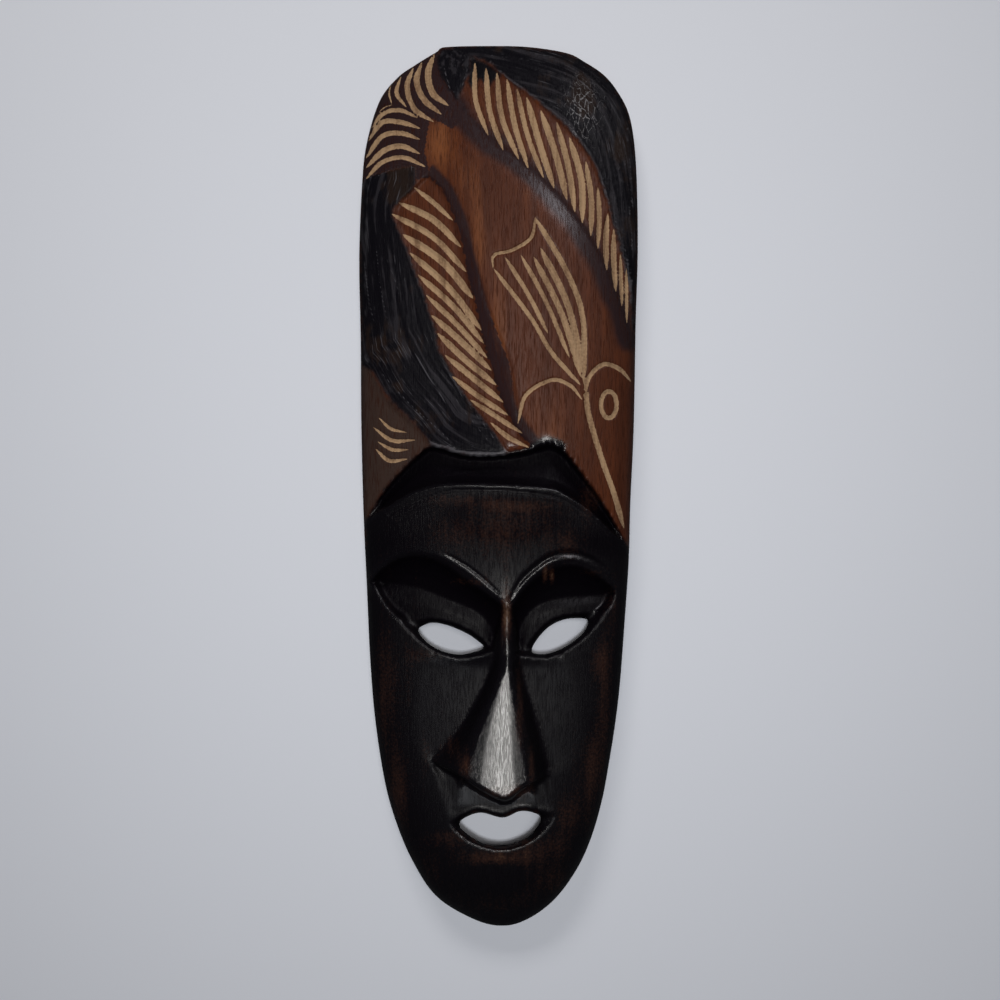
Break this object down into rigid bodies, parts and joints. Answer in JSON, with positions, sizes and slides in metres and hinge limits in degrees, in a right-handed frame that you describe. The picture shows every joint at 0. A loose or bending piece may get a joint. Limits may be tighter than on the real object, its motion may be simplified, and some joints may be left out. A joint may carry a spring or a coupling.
{
  "type": "carved wooden wall mask",
  "caption": "Tall narrow carved wooden wall mask lying face up: a bird panel over a long face with pierced eyes and mouth, and a hollowed back with a flat rim.",
  "frame": {"origin": "middle of the bounding box on the plane of the flat rim of the back, on which the mask lies", "axes": "+X to the viewer's right, +Y along the length towards the top of the mask, +Z out of the face"},
  "size_m": [0.1393, 0.4398, 0.0539],
  "materials": {
    "stained_wood": "dark stained and polished hardwood, bare wood in the grooves"
  },
  "bodies": {
    "root": {"mask": "stained_wood"}
  },
  "joints": []
}
